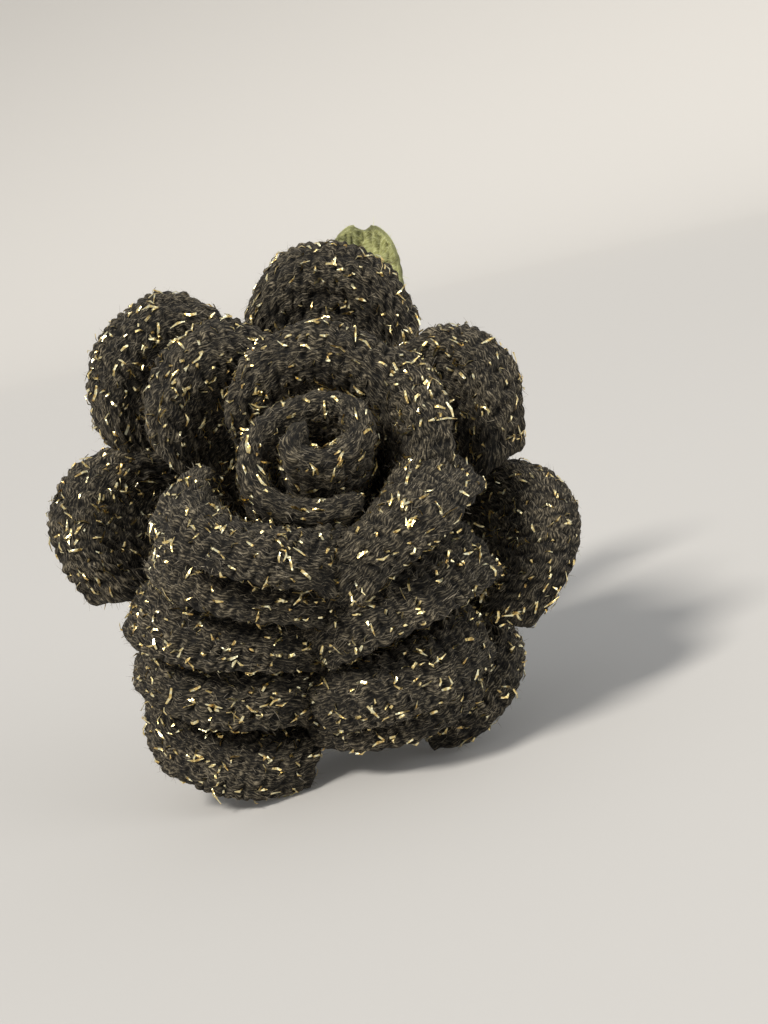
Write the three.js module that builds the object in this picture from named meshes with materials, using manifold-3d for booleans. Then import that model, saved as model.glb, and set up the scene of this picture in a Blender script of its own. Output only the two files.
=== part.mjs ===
// A crocheted rose: a rolled bud, rings of separately crocheted petals sewn round it,
// a green calyx with five sepals, a leaf, and a stem of green yarn wound over a wire.
// It lies on a table: the stem rests along the table and the head leans on its lowest petals.
// Millimetres, +Z up. The flower faces -Y and its stem runs back along +Y.
import * as THREE from "three";
import Module from "manifold-3d";
import { mergeVertices } from "three/addons/utils/BufferGeometryUtils.js";

// Driving dimensions
const FABRIC = 3.2; // thickness of one layer of crochet
const CLEARANCE = 0.3; // gap left between pieces that are sewn or pushed together
const HEAD_TILT = 35; // degrees from the table up to the axis of the head
const HEAD_SPIN = 1.6; // degrees the head is turned about its axis, so that it rests on two petals
const WIRE_RADIUS = 1.1;
const WIRE_TOP = 30; // height the wire reaches up inside the bud, from the base of the head
const STEM_RADIUS = 2.5;
const STEM_BEND = 34; // radius of the bend where the stem meets the table
const STEM_ALONG = 74; // length of the stem that lies straight on the table

// The rolled bud. It leans a little off the axis at its top.
const BUD_TOP = 74;
const BUD_TURNS = 1.42;
const BUD_START = 140; // degrees round the axis where the strip starts
const BUD_FOOT = { thickness: 3.3, pitch: 3.7 };
const BUD_RIM = { thickness: 4.8, pitch: 5.6, drop: 9 };
const BUD_LEAN = { amount: 5.5, azimuth: 38 };

// The stuffed green hip under the flower, its sepals, and the leaf tied to the stem
const HIP = { top: 19.3, rimRadius: 24.9, rimHeight: 0.4, waistRadius: 16, waistHeight: -7, neckRadius: 4.4, neck: -14 };
const SEPAL = { count: 5, azimuth: 20, reach: 44, half: 7.5, thickness: 2.6, rise: 13 };
const LEAF = { azimuth: 71.5, below: 12, ring: 6, bladeFrom: 40, bladeTo: 109, half: 12, thickness: 2.6, stalk: 1.7, rise: 27 };

// Sizes that follow from the ones above
const bore = WIRE_RADIUS + CLEARANCE;
const budStart = bore + BUD_FOOT.thickness / 2 + 0.4;
const budFootRadius = budStart + BUD_FOOT.pitch * BUD_TURNS + BUD_FOOT.thickness / 2;
const hipTopRadius = budFootRadius + 3 * CLEARANCE;
const budFoot = HIP.top + CLEARANCE;

const DEG = Math.PI / 180;
const wasm = await Module();
wasm.setup();

// Each petal, those nearest the heart first: the direction it points in round the head's axis, where its
// foot is sewn to the hip (seat, 0 at the top of the cone and 1 at its rim), the radius and height of its
// crest, its half widths at the rim and the foot, and how much farther out one side of it stands (tilt).
const PETALS = [
  { name: "petal_heart_top", azimuth: 63, seat: 0.04, crest: [25, 64], rimHalf: 26, footHalf: 13, tilt: -2, curlLength: 13 },
  { name: "petal_heart_low", azimuth: 230, seat: 0.04, crest: [17.5, 68], rimHalf: 24, footHalf: 13, tilt: -3, curlLength: 13 },
  { name: "petal_inner_low_right", azimuth: 314, seat: 0.3, crest: [20, 60], rimHalf: 22, footHalf: 10, tilt: 6, curlLength: 18 },
  { name: "petal_inner_right", azimuth: 17, seat: 0.3, crest: [27, 61], rimHalf: 22, footHalf: 10, tilt: 3, curlLength: 14 },
  { name: "petal_inner_top_left", azimuth: 112, seat: 0.3, crest: [38, 55], rimHalf: 22, footHalf: 10, tilt: -2, curlLength: 13 },
  { name: "petal_inner_low_left", azimuth: 230, seat: 0.3, crest: [21, 54], rimHalf: 25, footHalf: 10, tilt: -5, curlLength: 14 },
  { name: "petal_middle_right", azimuth: 297, seat: 0.56, crest: [27, 49], rimHalf: 23, footHalf: 10, tilt: 6, curlLength: 17 },
  { name: "petal_middle_left", azimuth: 229, seat: 0.56, crest: [28, 43], rimHalf: 25, footHalf: 10, tilt: -9, curlLength: 16 },
  { name: "petal_under_right", azimuth: 287, seat: 0.78, crest: [38, 37], rimHalf: 23, footHalf: 10, tilt: 3, curlLength: 15 },
  { name: "petal_under_left", azimuth: 230, seat: 0.78, crest: [37, 34], rimHalf: 24, footHalf: 10, tilt: -6, curlLength: 15 },
  { name: "petal_outer_top", azimuth: 73, seat: 0.84, crest: [60, 46], rimHalf: 22, footHalf: 8, tilt: 0 },
  { name: "petal_outer_top_right", azimuth: 29, seat: 0.84, crest: [48, 46], rimHalf: 22, footHalf: 8, tilt: 0 },
  { name: "petal_outer_top_left", azimuth: 117, seat: 0.84, crest: [61, 45], rimHalf: 23, footHalf: 8, tilt: -3 },
  { name: "petal_outer_right", azimuth: 344, seat: 0.84, crest: [50, 36], rimHalf: 23, footHalf: 8, tilt: 0 },
  { name: "petal_outer_left", azimuth: 161, seat: 0.84, crest: [50, 36], rimHalf: 20.5, footHalf: 8, tilt: 0 },
  { name: "petal_outer_low_left", azimuth: 232, seat: 0.97, crest: [52, 24], rimHalf: 25, footHalf: 8, tilt: 0 },
  { name: "petal_outer_low", azimuth: 282, seat: 0.97, crest: [43, 26], rimHalf: 23, footHalf: 8, tilt: 3 },
  { name: "petal_outer_low_right", azimuth: 307, seat: 1.0, crest: [46.5, 19], rimHalf: 20, footHalf: 8, tilt: -3 },
];
const PETAL_COMMON = { bulge: -6, curl: 118, curlLength: 14, drop: 0.24 };

// A petal's surface
const ACROSS = 10;
const ROWS = [0, 0.2, 0.4, 0.56, 0.68, 0.77, 0.84, 0.9, 0.95, 1];

// Where a petal's foot stands on the hip, clear of it by the named gap
function footOf(petal) {
  const along = [HIP.rimRadius - hipTopRadius, HIP.rimHeight - HIP.top];
  const long = Math.hypot(along[0], along[1]);
  const normal = [-along[1] / long, along[0] / long];
  const seat = [hipTopRadius + along[0] * petal.seat, HIP.top + along[1] * petal.seat];
  const heading = Math.atan2(petal.crest[0] - seat[0], petal.crest[1] - seat[1]) - PETAL_COMMON.bulge * DEG;
  const lift = (FABRIC / 2) * Math.abs(normal[0] * Math.cos(heading) - normal[1] * Math.sin(heading)) + CLEARANCE;
  return [seat[0] + normal[0] * lift, seat[1] + normal[1] * lift];
}

function clamp01(x) {
  return Math.min(1, Math.max(0, x));
}

// One column of a petal from its foot to its rim, as radius and height round the head's axis.
// The body is an arc from the foot to the crest, and the rim curls outward after it.
function columnOf(p, s, steps) {
  const dr = p.crest[0] - p.foot[0];
  const dz = p.crest[1] - p.foot[1];
  const chord = Math.hypot(dr, dz);
  const heading = Math.atan2(dr, dz);
  const bulge = p.bulge * DEG;
  const body = Math.abs(bulge) < 1e-4 ? chord : (chord * bulge) / Math.sin(bulge);
  const reach = body + p.curlLength;
  const length = reach * (1 - p.drop * Math.abs(s) ** 2.4);
  const step = length / steps;
  let radius = p.foot[0];
  let height = p.foot[1];
  const column = [];
  for (let i = 0; i <= steps; i++) {
    column.push({ along: (i * step) / reach, radius, height });
    const mid = (i + 0.5) * step;
    const curled = clamp01((mid - (length - p.curlLength)) / p.curlLength);
    const lean = heading + bulge * ((2 * Math.min(mid, body)) / body - 1) + p.curl * DEG * curled;
    radius += Math.sin(lean) * step;
    height += Math.cos(lean) * step;
  }
  return column;
}

function lookUp(column, t) {
  const at = t * (column.length - 1);
  const i = Math.min(column.length - 2, Math.floor(at));
  const f = at - i;
  const mix = (key) => column[i][key] * (1 - f) + column[i + 1][key] * f;
  return { along: mix("along"), radius: mix("radius"), height: mix("height") };
}

function petalPoint(p, s, t, columns) {
  const here = lookUp(columns.get(s), t);
  const wrap = lookUp(columns.get(0), t).radius;
  const half = p.footHalf + (p.rimHalf - p.footHalf) * Math.sin((Math.min(1, here.along / 0.72) * Math.PI) / 2);
  const angle = p.azimuth * DEG + (s * half) / wrap;
  const out = here.radius + p.tilt * s * here.along;
  return new THREE.Vector3(out * Math.cos(angle), out * Math.sin(angle), here.height);
}

function petalGeometry(p, grow = 0) {
  const columns = new Map();
  const across = [];
  for (let i = 0; i <= ACROSS; i++) across.push((2 * i) / ACROSS - 1);
  const small = 1e-3;
  for (const s of across) for (const d of [0, -small, small]) columns.set(s + d, columnOf(p, s + d, 60));
  const front = [];
  const back = [];
  for (const t of ROWS) {
    for (const s of across) {
      const here = petalPoint(p, s, t, columns);
      const du = petalPoint(p, s + small, t, columns).sub(petalPoint(p, s - small, t, columns));
      const below = Math.max(0, t - 0.01);
      const above = Math.min(1, t + 0.01);
      const dv = petalPoint(p, s, above, columns).sub(petalPoint(p, s, below, columns));
      const normal = du.clone().cross(dv).normalize();
      const atEdge = Math.abs(s) > 0.99 || t > 0.99;
      const half = (FABRIC / 2) * (atEdge ? 0.5 : 1) + grow;
      if (grow > 0) {
        if (Math.abs(s) > 0.99) here.addScaledVector(du.normalize(), grow * Math.sign(s));
        if (t > 0.99) here.addScaledVector(dv.clone().normalize(), grow);
        if (t < 0.01) here.addScaledVector(dv.clone().normalize(), -grow);
      }
      front.push(here.clone().addScaledVector(normal, half));
      back.push(here.clone().addScaledVector(normal, -half));
    }
  }
  return shell(front, back, ACROSS + 1, ROWS.length);
}

// A closed shell from two grids of points. The first grid lies on the side its normals point to.
function shell(front, back, columns, rows) {
  const positions = [];
  for (const p of [...front, ...back]) positions.push(p.x, p.y, p.z);
  const far = front.length;
  const index = [];
  const quad = (a, b, c, d) => index.push(a, b, c, a, c, d);
  for (let r = 0; r < rows - 1; r++) {
    for (let c = 0; c < columns - 1; c++) {
      const a = r * columns + c;
      quad(a, a + 1, a + columns + 1, a + columns);
      quad(far + a, far + a + columns, far + a + columns + 1, far + a + 1);
    }
  }
  for (let c = 0; c < columns - 1; c++) {
    const last = (rows - 1) * columns + c;
    quad(c + 1, c, far + c, far + c + 1);
    quad(last, last + 1, far + last + 1, far + last);
  }
  for (let r = 0; r < rows - 1; r++) {
    const left = r * columns;
    const right = left + columns - 1;
    quad(left, left + columns, far + left + columns, far + left);
    quad(right + columns, right, far + right, far + right + columns);
  }
  const geometry = new THREE.BufferGeometry();
  geometry.setAttribute("position", new THREE.Float32BufferAttribute(positions, 3));
  geometry.setIndex(index);
  return geometry;
}

// The bud: one strip rolled up, tight at its foot and looser at its top
function budGeometry() {
  const columns = 19;
  const rows = [0, 0.3, 0.6, 0.8, 0.92, 1];
  const front = [];
  const back = [];
  for (const t of rows) {
    for (let i = 0; i < columns; i++) {
      const share = i / (columns - 1);
      const angle = share * BUD_TURNS * 2 * Math.PI + BUD_START * DEG;
      const pitch = BUD_FOOT.pitch + (BUD_RIM.pitch - BUD_FOOT.pitch) * t;
      const top = BUD_TOP - BUD_RIM.drop * share ** 1.5;
      const height = budFoot + (top - budFoot) * t;
      const radius = budStart + pitch * BUD_TURNS * share + (t > 0.85 ? 0.5 : 0);
      const thick = BUD_FOOT.thickness + (BUD_RIM.thickness - BUD_FOOT.thickness) * t;
      const half = (thick / 2) * (t > 0.99 ? 0.5 : 1);
      const shift = BUD_LEAN.amount * t * t;
      const toward = BUD_LEAN.azimuth * DEG;
      const centre = new THREE.Vector3(shift * Math.cos(toward), shift * Math.sin(toward), height);
      const out = new THREE.Vector3(Math.cos(angle), Math.sin(angle), 0);
      front.push(centre.clone().addScaledVector(out, radius + half));
      back.push(centre.clone().addScaledVector(out, radius - half));
    }
  }
  return shell(front, back, columns, rows.length);
}

const head = new THREE.Group();
const black = new THREE.MeshStandardMaterial({ color: 0x1c1a18, roughness: 0.95, metalness: 0 });
const green = new THREE.MeshStandardMaterial({ color: 0x3f5a2a, roughness: 0.95, metalness: 0 });

function toManifold(geometry) {
  const merged = mergeVertices(geometry, 1e-3);
  const mesh = new wasm.Mesh({
    numProp: 3,
    vertProperties: new Float32Array(merged.attributes.position.array),
    triVerts: new Uint32Array(merged.index.array),
  });
  return new wasm.Manifold(mesh);
}

function fromManifold(solid) {
  const mesh = solid.getMesh();
  const geometry = new THREE.BufferGeometry();
  geometry.setAttribute("position", new THREE.Float32BufferAttribute(mesh.vertProperties, 3));
  geometry.setIndex(Array.from(mesh.triVerts));
  return geometry;
}

function piece(name, geometry, material, parent = head) {
  const mesh = new THREE.Mesh(geometry, material);
  mesh.name = name;
  parent.add(mesh);
  return mesh;
}

// A ring of revolution from a closed profile of radius and height
function revolve(profile, segments) {
  const points = [];
  for (const [r, z] of profile) points.push(new THREE.Vector2(r, z));
  points.push(points[0].clone());
  const geometry = new THREE.LatheGeometry(points, segments);
  geometry.rotateX(90 * DEG);
  geometry.deleteAttribute("uv");
  geometry.deleteAttribute("normal");
  return geometry;
}

// A round tube along a path of points, closed at both ends, hollow when it has a bore
function tube(path, outer, bore, segments) {
  const rings = [];
  const side = new THREE.Vector3(1, 0, 0);
  path.forEach((p, i) => {
    const ahead = path[Math.min(path.length - 1, i + 1)].clone().sub(path[Math.max(0, i - 1)]).normalize();
    const up = new THREE.Vector3().crossVectors(ahead, side).normalize();
    rings.push({ p, up });
  });
  const positions = [];
  const index = [];
  const loops = bore > 0 ? [outer, bore] : [outer];
  for (const { p, up } of rings) {
    for (const r of loops) {
      for (let k = 0; k < segments; k++) {
        const angle = (k / segments) * 2 * Math.PI;
        const q = p.clone().addScaledVector(side, r * Math.cos(angle)).addScaledVector(up, r * Math.sin(angle));
        positions.push(q.x, q.y, q.z);
      }
    }
  }
  const stride = loops.length * segments;
  const at = (i, loop, k) => i * stride + loop * segments + (k % segments);
  const quad = (a, b, c, d) => index.push(a, b, c, a, c, d);
  const last = rings.length - 1;
  for (let k = 0; k < segments; k++) {
    for (let i = 0; i < last; i++) {
      quad(at(i, 0, k), at(i, 0, k + 1), at(i + 1, 0, k + 1), at(i + 1, 0, k));
      if (bore > 0) quad(at(i, 1, k), at(i + 1, 1, k), at(i + 1, 1, k + 1), at(i, 1, k + 1));
    }
    if (bore > 0) {
      quad(at(0, 0, k), at(0, 1, k), at(0, 1, k + 1), at(0, 0, k + 1));
      quad(at(last, 0, k), at(last, 0, k + 1), at(last, 1, k + 1), at(last, 1, k));
    }
  }
  if (!(bore > 0)) {
    for (const end of [0, last]) {
      const centre = positions.length / 3;
      positions.push(rings[end].p.x, rings[end].p.y, rings[end].p.z);
      for (let k = 0; k < segments; k++) {
        if (end === 0) index.push(centre, at(0, 0, k + 1), at(0, 0, k));
        else index.push(centre, at(last, 0, k), at(last, 0, k + 1));
      }
    }
  }
  const geometry = new THREE.BufferGeometry();
  geometry.setAttribute("position", new THREE.Float32BufferAttribute(positions, 3));
  geometry.setIndex(index);
  return geometry;
}

function outward(manifold) {
  if (manifold.volume() > 0) return manifold;
  throw new Error("a solid is inside out");
}

// The calyx: a stuffed cone that the petals are sewn to, with five sepals
function calyx() {
  let solid = outward(toManifold(revolve([
    [bore, HIP.neck],
    [HIP.neckRadius, HIP.neck],
    [(HIP.neckRadius + HIP.waistRadius) / 2 - 1, (HIP.neck + HIP.waistHeight) / 2 - 0.8],
    [HIP.waistRadius, HIP.waistHeight],
    [HIP.rimRadius - 1.5, HIP.rimHeight - 3],
    [HIP.rimRadius, HIP.rimHeight],
    [hipTopRadius, HIP.top],
    [bore, HIP.top],
  ], 30)));
  const columns = 5;
  const rows = 7;
  const inner = HIP.waistRadius - 4;
  for (let n = 0; n < SEPAL.count; n++) {
    const turn = (SEPAL.azimuth + (n * 360) / SEPAL.count) * DEG;
    const front = [];
    const back = [];
    for (let r = 0; r < rows; r++) {
      const t = r / (rows - 1);
      const reach = inner + (SEPAL.reach - inner) * t;
      const half = SEPAL.half * Math.sqrt(Math.max(0, 1 - (Math.max(0, t - 0.2) / 0.83) ** 2));
      for (let c = 0; c < columns; c++) {
        const s = (2 * c) / (columns - 1) - 1;
        const height = HIP.waistHeight + 0.4 + SEPAL.rise * t ** 1.6 + 1.2 * s * s;
        const edge = Math.abs(s) > 0.99 || t > 0.99 ? 0.5 : 1;
        const place = (dz) => new THREE.Vector3(reach, half * s, height + dz * edge).applyAxisAngle(new THREE.Vector3(0, 0, 1), turn);
        front.push(place(SEPAL.thickness / 2));
        back.push(place(-SEPAL.thickness / 2));
      }
    }
    solid = solid.add(outward(toManifold(shell(back, front, columns, rows))));
  }
  return fromManifold(solid);
}

// The leaf: a blade on a wired stalk, with a ring of yarn that ties it round the stem
function leaf() {
  const turn = new THREE.Matrix4().makeRotationZ(LEAF.azimuth * DEG);
  const level = HIP.neck - LEAF.below;
  const rise = (r) => level + LEAF.rise * Math.max(0, r / LEAF.bladeTo) ** 2;
  const inner = STEM_RADIUS + CLEARANCE;
  const from = inner + 0.8;
  const stalk = [];
  for (let i = 0; i <= 6; i++) {
    const r = from + ((LEAF.bladeFrom + 4 - from) * i) / 6;
    stalk.push(new THREE.Vector3(0, r, rise(r)));
  }
  const quarter = new THREE.Matrix4().makeRotationZ(-90 * DEG);
  let solid = outward(toManifold(tube(stalk, LEAF.stalk, 0, 10).applyMatrix4(quarter)));
  const columns = 7;
  const rows = 11;
  const front = [];
  const back = [];
  for (let k = 0; k < rows; k++) {
    const t = k / (rows - 1);
    const r = LEAF.bladeFrom + (LEAF.bladeTo - LEAF.bladeFrom) * t;
    const half = LEAF.half * Math.sqrt(1 - (Math.abs(t - 0.45) / (t > 0.45 ? 0.57 : 0.47)) ** 2);
    for (let c = 0; c < columns; c++) {
      const s = (2 * c) / (columns - 1) - 1;
      const edge = Math.abs(s) > 0.99 || t > 0.99 || t < 0.01 ? 0.5 : 1;
      const height = rise(r) + 2.4 * s * s;
      front.push(new THREE.Vector3(r, half * s, height + (LEAF.thickness / 2) * edge));
      back.push(new THREE.Vector3(r, half * s, height - (LEAF.thickness / 2) * edge));
    }
  }
  solid = solid.add(outward(toManifold(shell(back, front, columns, rows))));
  const low = level - LEAF.ring / 2;
  const high = level + LEAF.ring / 2;
  solid = solid.add(outward(toManifold(revolve([
    [inner, low],
    [inner + 1.5, low + 0.4],
    [inner + 1.5, high - 0.4],
    [inner, high],
  ], 20))));
  const geometry = fromManifold(solid);
  geometry.applyMatrix4(turn);
  return geometry;
}

// The stem's path in the plane of the head's axis, from a point on the axis down to the table and along it
function stemPath(from, baseHeight) {
  const down = new THREE.Vector3(0, Math.cos(HEAD_TILT * DEG), -Math.sin(HEAD_TILT * DEG));
  const base = new THREE.Vector3(0, 0, baseHeight);
  const drop = STEM_BEND * (1 - Math.cos(HEAD_TILT * DEG));
  const straight = (baseHeight - STEM_RADIUS - drop) / Math.sin(HEAD_TILT * DEG);
  const path = [base.clone().addScaledVector(down, -from)];
  const bendStart = base.clone().addScaledVector(down, straight);
  const normal = new THREE.Vector3(0, Math.sin(HEAD_TILT * DEG), Math.cos(HEAD_TILT * DEG));
  const centre = bendStart.clone().addScaledVector(normal, STEM_BEND);
  for (let i = 0; i <= 6; i++) {
    const angle = HEAD_TILT * DEG * (1 - i / 6);
    path.push(centre.clone().add(new THREE.Vector3(0, -Math.sin(angle), -Math.cos(angle)).multiplyScalar(STEM_BEND)));
  }
  path.push(path[path.length - 1].clone().add(new THREE.Vector3(0, STEM_ALONG / 2, 0)));
  path.push(path[path.length - 1].clone().add(new THREE.Vector3(0, STEM_ALONG / 2, 0)));
  return path;
}

piece("bud", budGeometry(), black);
// Petals that press on each other: each one gives way to those nearer the heart
const taken = [];
for (const petal of PETALS) {
  const p = { ...PETAL_COMMON, ...petal, foot: footOf(petal) };
  let solid = outward(toManifold(petalGeometry(p)));
  for (const room of taken) {
    if (solid.intersect(room).volume() > 1e-4) solid = solid.subtract(room).simplify(0.004);
  }
  const largest = solid.decompose().sort((a, b) => b.volume() - a.volume())[0];
  piece(p.name, fromManifold(largest), black);
  taken.push(outward(toManifold(petalGeometry(p, CLEARANCE))));
}
piece("calyx", calyx(), green);
piece("leaf", leaf(), green);

// Lay the head down: tip its axis up from the table and let its lowest petals touch the table
head.rotation.set((90 - HEAD_TILT) * DEG, 0, HEAD_SPIN * DEG);
head.updateMatrixWorld(true);
const lowest = new THREE.Box3().setFromObject(head, true).min.z;
const baseHeight = -lowest;
head.position.z = baseHeight;

const rose = new THREE.Group();
rose.add(head);
const steel = new THREE.MeshStandardMaterial({ color: 0x8a8c8e, roughness: 0.4, metalness: 1 });
piece("stem_wire", tube(stemPath(WIRE_TOP, baseHeight), WIRE_RADIUS, 0, 12), steel, rose);
piece("stem_cover", tube(stemPath(HIP.neck - CLEARANCE, baseHeight), STEM_RADIUS, bore, 16), green, rose);

// The frame: the origin is under the middle of the bounding box, on the table
rose.updateMatrixWorld(true);
const box = new THREE.Box3().setFromObject(rose, true);
const middle = box.getCenter(new THREE.Vector3());
rose.position.set(-middle.x, -middle.y, -box.min.z);
rose.updateMatrixWorld(true);

export default rose;
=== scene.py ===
"""A crocheted rose in near-black yarn with gold thread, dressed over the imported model.
Shapes are worked out in millimetres, as in part.mjs, and become metres when a mesh is made."""
import math
import bpy
import numpy as np
from mathutils import Matrix, Vector


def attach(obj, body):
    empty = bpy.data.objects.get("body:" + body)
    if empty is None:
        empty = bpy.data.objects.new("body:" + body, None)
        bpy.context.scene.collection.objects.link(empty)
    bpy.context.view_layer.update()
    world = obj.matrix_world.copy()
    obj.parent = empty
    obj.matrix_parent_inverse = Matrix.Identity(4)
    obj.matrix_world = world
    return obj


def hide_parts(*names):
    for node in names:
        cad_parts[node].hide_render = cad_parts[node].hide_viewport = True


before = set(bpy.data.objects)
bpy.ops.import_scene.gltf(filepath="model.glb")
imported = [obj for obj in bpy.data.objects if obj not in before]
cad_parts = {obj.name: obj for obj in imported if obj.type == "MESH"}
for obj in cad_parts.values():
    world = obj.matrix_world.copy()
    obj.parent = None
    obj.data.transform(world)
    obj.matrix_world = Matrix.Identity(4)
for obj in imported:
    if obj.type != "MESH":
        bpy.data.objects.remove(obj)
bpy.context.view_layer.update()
DEG = math.pi / 180

# Sizes that part.mjs states too
FABRIC = 3.2
CLEARANCE = 0.3
HEAD_TILT = 35
HEAD_SPIN = 1.6
HEAD_BASE = (-0.303, -29.817, 36.824)
WIRE_RADIUS = 1.1
STEM_RADIUS = 2.5
STEM_BEND = 34
STEM_ALONG = 74
BUD_TOP = 74
BUD_TURNS = 1.42
BUD_START = 140
BUD_FOOT = {"thickness": 3.3, "pitch": 3.7}
BUD_RIM = {"thickness": 4.8, "pitch": 5.6, "drop": 9}
BUD_LEAN = {"amount": 5.5, "azimuth": 38}
HIP = {"top": 19.3, "rim_radius": 24.9, "rim_height": 0.4, "waist_radius": 16, "waist_height": -7,
       "neck_radius": 4.4, "neck": -14}
SEPAL = {"count": 5, "azimuth": 20, "root": 12, "reach": 44, "half": 7.5, "thickness": 2.6, "rise": 13}
LEAF = {"azimuth": 71.5, "below": 12, "ring": 6, "ring_radius": 4.3, "blade_from": 40, "blade_to": 109,
        "half": 12, "thickness": 2.6, "stalk": 1.7, "rise": 27}
BORE = WIRE_RADIUS + CLEARANCE
BUD_IN = BORE + BUD_FOOT["thickness"] / 2 + 0.4
BUD_FOOT_RADIUS = BUD_IN + BUD_FOOT["pitch"] * BUD_TURNS + BUD_FOOT["thickness"] / 2
HIP_TOP_RADIUS = BUD_FOOT_RADIUS + 3 * CLEARANCE
BUD_BASE = HIP["top"] + CLEARANCE

# A petal: name, azimuth, seat along the hip, crest (radius, height),
# half width at the rim and at the foot, tilt, length of the curl
PETALS = [
    ("petal_heart_top", 63, 0.04, (25, 64), 26, 13, -2, 13),
    ("petal_heart_low", 230, 0.04, (17.5, 68), 24, 13, -3, 13),
    ("petal_inner_low_right", 314, 0.3, (20, 60), 22, 10, 6, 18),
    ("petal_inner_right", 17, 0.3, (27, 61), 22, 10, 3, 14),
    ("petal_inner_top_left", 112, 0.3, (38, 55), 22, 10, -2, 13),
    ("petal_inner_low_left", 230, 0.3, (21, 54), 25, 10, -5, 14),
    ("petal_middle_right", 297, 0.56, (27, 49), 23, 10, 6, 17),
    ("petal_middle_left", 229, 0.56, (28, 43), 25, 10, -9, 16),
    ("petal_under_right", 287, 0.78, (38, 37), 23, 10, 3, 15),
    ("petal_under_left", 230, 0.78, (37, 34), 24, 10, -6, 15),
    ("petal_outer_top", 73, 0.84, (60, 46), 22, 8, 0, 14),
    ("petal_outer_top_right", 29, 0.84, (48, 46), 22, 8, 0, 14),
    ("petal_outer_top_left", 117, 0.84, (61, 45), 23, 8, -3, 14),
    ("petal_outer_right", 344, 0.84, (50, 36), 23, 8, 0, 14),
    ("petal_outer_left", 161, 0.84, (50, 36), 20.5, 8, 0, 14),
    ("petal_outer_low_left", 232, 0.97, (52, 24), 25, 8, 0, 14),
    ("petal_outer_low", 282, 0.97, (43, 26), 23, 8, 3, 14),
    ("petal_outer_low_right", 307, 1.0, (46.5, 19), 20, 8, -3, 14),
]
# How a petal's body bows and its rim curls, in degrees
BULGE = -6
CURL = 118
# The share by which a petal is shorter at its sides than in the middle, and the power of that
DROP = 0.24
DROP_POWER = 2.4
# The share of its length at which a petal has its full width
FULL_WIDTH = 0.72

# The soft rims of the petals in front press down on the ones below them, further than the solids can
TUCKED = ("heart_low", "inner_low", "middle", "under")
TUCK = {"length": 4.5, "curl": 20}
# The bud's soft strip swells at the rim, most on its open side, until it fills the petals round it
SWELL = {"pitch": 1.8, "thickness": 1.7, "closed": 2.7, "aside": 5, "azimuth": 5}
# Rims that spread wider than the solids, toward the lower and the higher azimuth
SPREAD = {"petal_outer_top": (2.5, 2.5), "petal_outer_left": (5, 0), "petal_outer_top_left": (0, 3.5)}

# Crochet: one stitch is this wide and one row this high, and a loop stands this far out
STITCH = 4.3
ROW = 4.0
LOOP_HEIGHT = 1.5
CALYX_LOOP_HEIGHT = 0.8
# Cloth is thinner than its solid by up to this much, which leaves room for the loops
LOOP_ROOM = 0.4
# A stitch's two legs, in stitches: half width, distance from the middle and how far they part
LEG = {"half": 0.23, "foot": 0.12, "part": 0.22}
# The ridge between two rows: half width in rows and height in loops
BAR = {"half": 0.15, "height": 0.6}
# Plies and fluff that blur the loops: size along and across the rows, and height in loops
FLUFF = {"along": 2.1, "across": 1.5, "height": 0.34}
# Rows wander over patches of this size, by this much
DRIFT = {"patch": 9.0, "amount": 0.9}
# Fibres bend round each stitch and with the rows' wandering, by this much
BEND = {"stitch": 0.32, "wander": 1.6}
# Sizes of the soft waves in the cloth, and the distance from its edge over which they grow
WAVE = {"large": 15.0, "small": 6.5, "edge": 8}
# The share of a piece along its rim and sides where stitches stand out
MARGIN = 0.08

# Yarn wound on a stem: the width of a turn and the height of its ridge
WINDING = 1.7
RIDGE = 0.42

# Width of the cells of cloth, width over length, and length of the cells of wound yarn
CLOTH_STEP = 0.68
CELL_SHAPE = 0.85
WOUND_STEP = 0.42

# Threads: number for each square millimetre of cloth, length, width and the share that is wild or
# lies along the rows; a gold thread also has the height of its arch and the depth of its body
FIBRE = {"density": 0.55, "length": (1.1, 2.8), "width": (0.07, 0.14), "wild": 0.12}
GOLD_THREAD = {"density": 0.079, "length": (0.9, 4.6), "width": (0.44, 0.7), "along_rows": 0.45,
               "arch": 0.42, "depth": 0.14}


# Places in space

def head_matrix():
    """Turns the head's own frame, with its axis along +Z, into the frame of the part."""
    tip = (90 - HEAD_TILT) * DEG
    spin = HEAD_SPIN * DEG
    about_x = np.array([[1, 0, 0], [0, math.cos(tip), -math.sin(tip)], [0, math.sin(tip), math.cos(tip)]])
    about_z = np.array([[math.cos(spin), -math.sin(spin), 0], [math.sin(spin), math.cos(spin), 0], [0, 0, 1]])
    return about_x @ about_z


HEAD = head_matrix()


def place(points):
    """Points of the head's own frame in the frame of the part."""
    return points @ HEAD.T + np.array(HEAD_BASE)


def turned(points, degrees):
    """Points turned about +Z."""
    c = math.cos(degrees * DEG)
    s = math.sin(degrees * DEG)
    x = points[..., 0] * c - points[..., 1] * s
    y = points[..., 0] * s + points[..., 1] * c
    return np.stack([x, y, points[..., 2]], -1)


def revolved(r, z, columns):
    """A grid round the Z axis from a column of radii and one of heights, with its angles."""
    angle = np.linspace(0, 2 * np.pi, columns)[None, :]
    return np.stack([r * np.cos(angle), r * np.sin(angle), z + 0 * angle], -1), angle


# Noise: the offsets and seeds below only keep one noise apart from another

def smooth(x):
    """From 0 at 0 to 1 at 1, level at both ends and beyond them."""
    x = np.clip(x, 0, 1)
    return x * x * (3 - 2 * x)


def lattice(ix, iy, iz, seed):
    """A random number in -1..1 for each whole-number point, from bits mixed by large odd numbers."""
    h = (ix * 374761393 + iy * 668265263 + iz * 2147483647 + seed * 1274126177) & 0xFFFFFFFF
    h = ((h ^ (h >> 13)) * 1274126177) & 0xFFFFFFFF
    h = ((h ^ (h >> 16)) * 2246822519) & 0xFFFFFFFF
    return ((h ^ (h >> 15)) & 0xFFFFFF) / float(0xFFFFFF) * 2 - 1


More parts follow.
